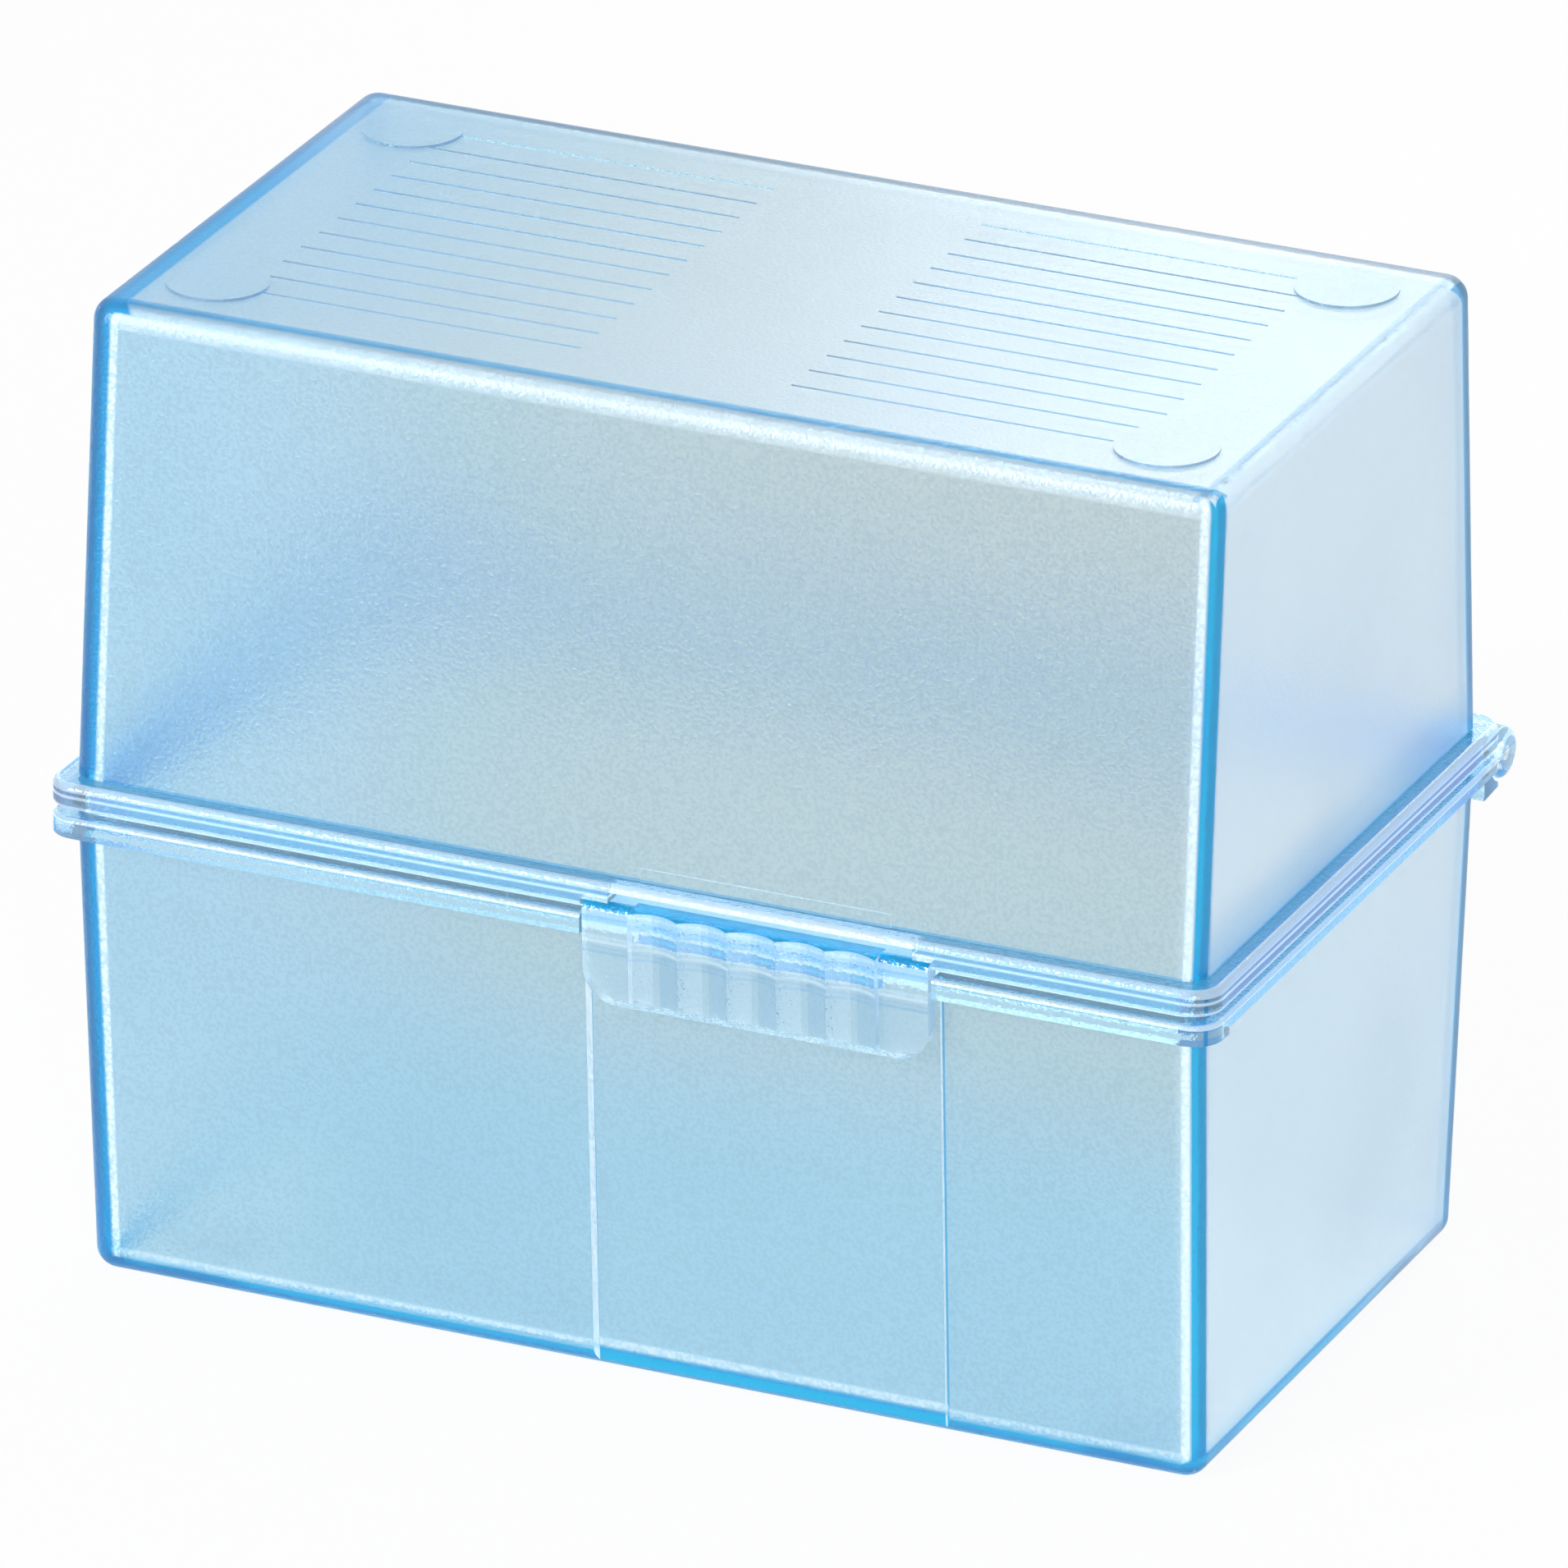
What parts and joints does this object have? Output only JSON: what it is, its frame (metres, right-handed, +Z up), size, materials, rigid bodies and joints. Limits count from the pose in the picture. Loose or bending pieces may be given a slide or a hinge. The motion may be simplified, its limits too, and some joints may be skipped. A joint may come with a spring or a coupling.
{
  "type": "index card box",
  "caption": "Hinged card box: a tapering tray with a matching deep lid on a rear rod hinge, closed by a fluted snap tab on the front rim.",
  "frame": {"origin": "middle of the tray's flat underside", "axes": "+X along the width, to the right seen from the front; the front with the latch looks to -Y; +Z up"},
  "size_m": [0.1616, 0.1056, 0.1347],
  "materials": {
    "tray_plastic": "translucent pale blue, fine grained outside, clear glossy rim",
    "lid_plastic": "translucent pale blue, fine grained outside, clear glossy rim",
    "tab_plastic": "clear glossy pale blue",
    "rod_steel": "bright drawn wire"
  },
  "bodies": {
    "base": {"base_tray": "tray_plastic", "hinge_rod": "rod_steel"},
    "lid": {"lid_cover": "lid_plastic"},
    "latch": {"latch_tab": "tab_plastic"}
  },
  "joints": [
    {"name": "lid_hinge", "type": "hinge", "parent": "base", "child": "lid", "pos_m": [0, 0.0515, 0.0645], "axis": [-1, 0, 0], "range_deg": [0, 110]},
    {"name": "latch_flex", "type": "hinge", "parent": "lid", "child": "latch", "pos_m": [0.0186, -0.04816, 0.06658], "axis": [-1, 0, 0], "range_deg": [0, 12], "stiffness_Nm_per_rad": 0.2}
  ]
}
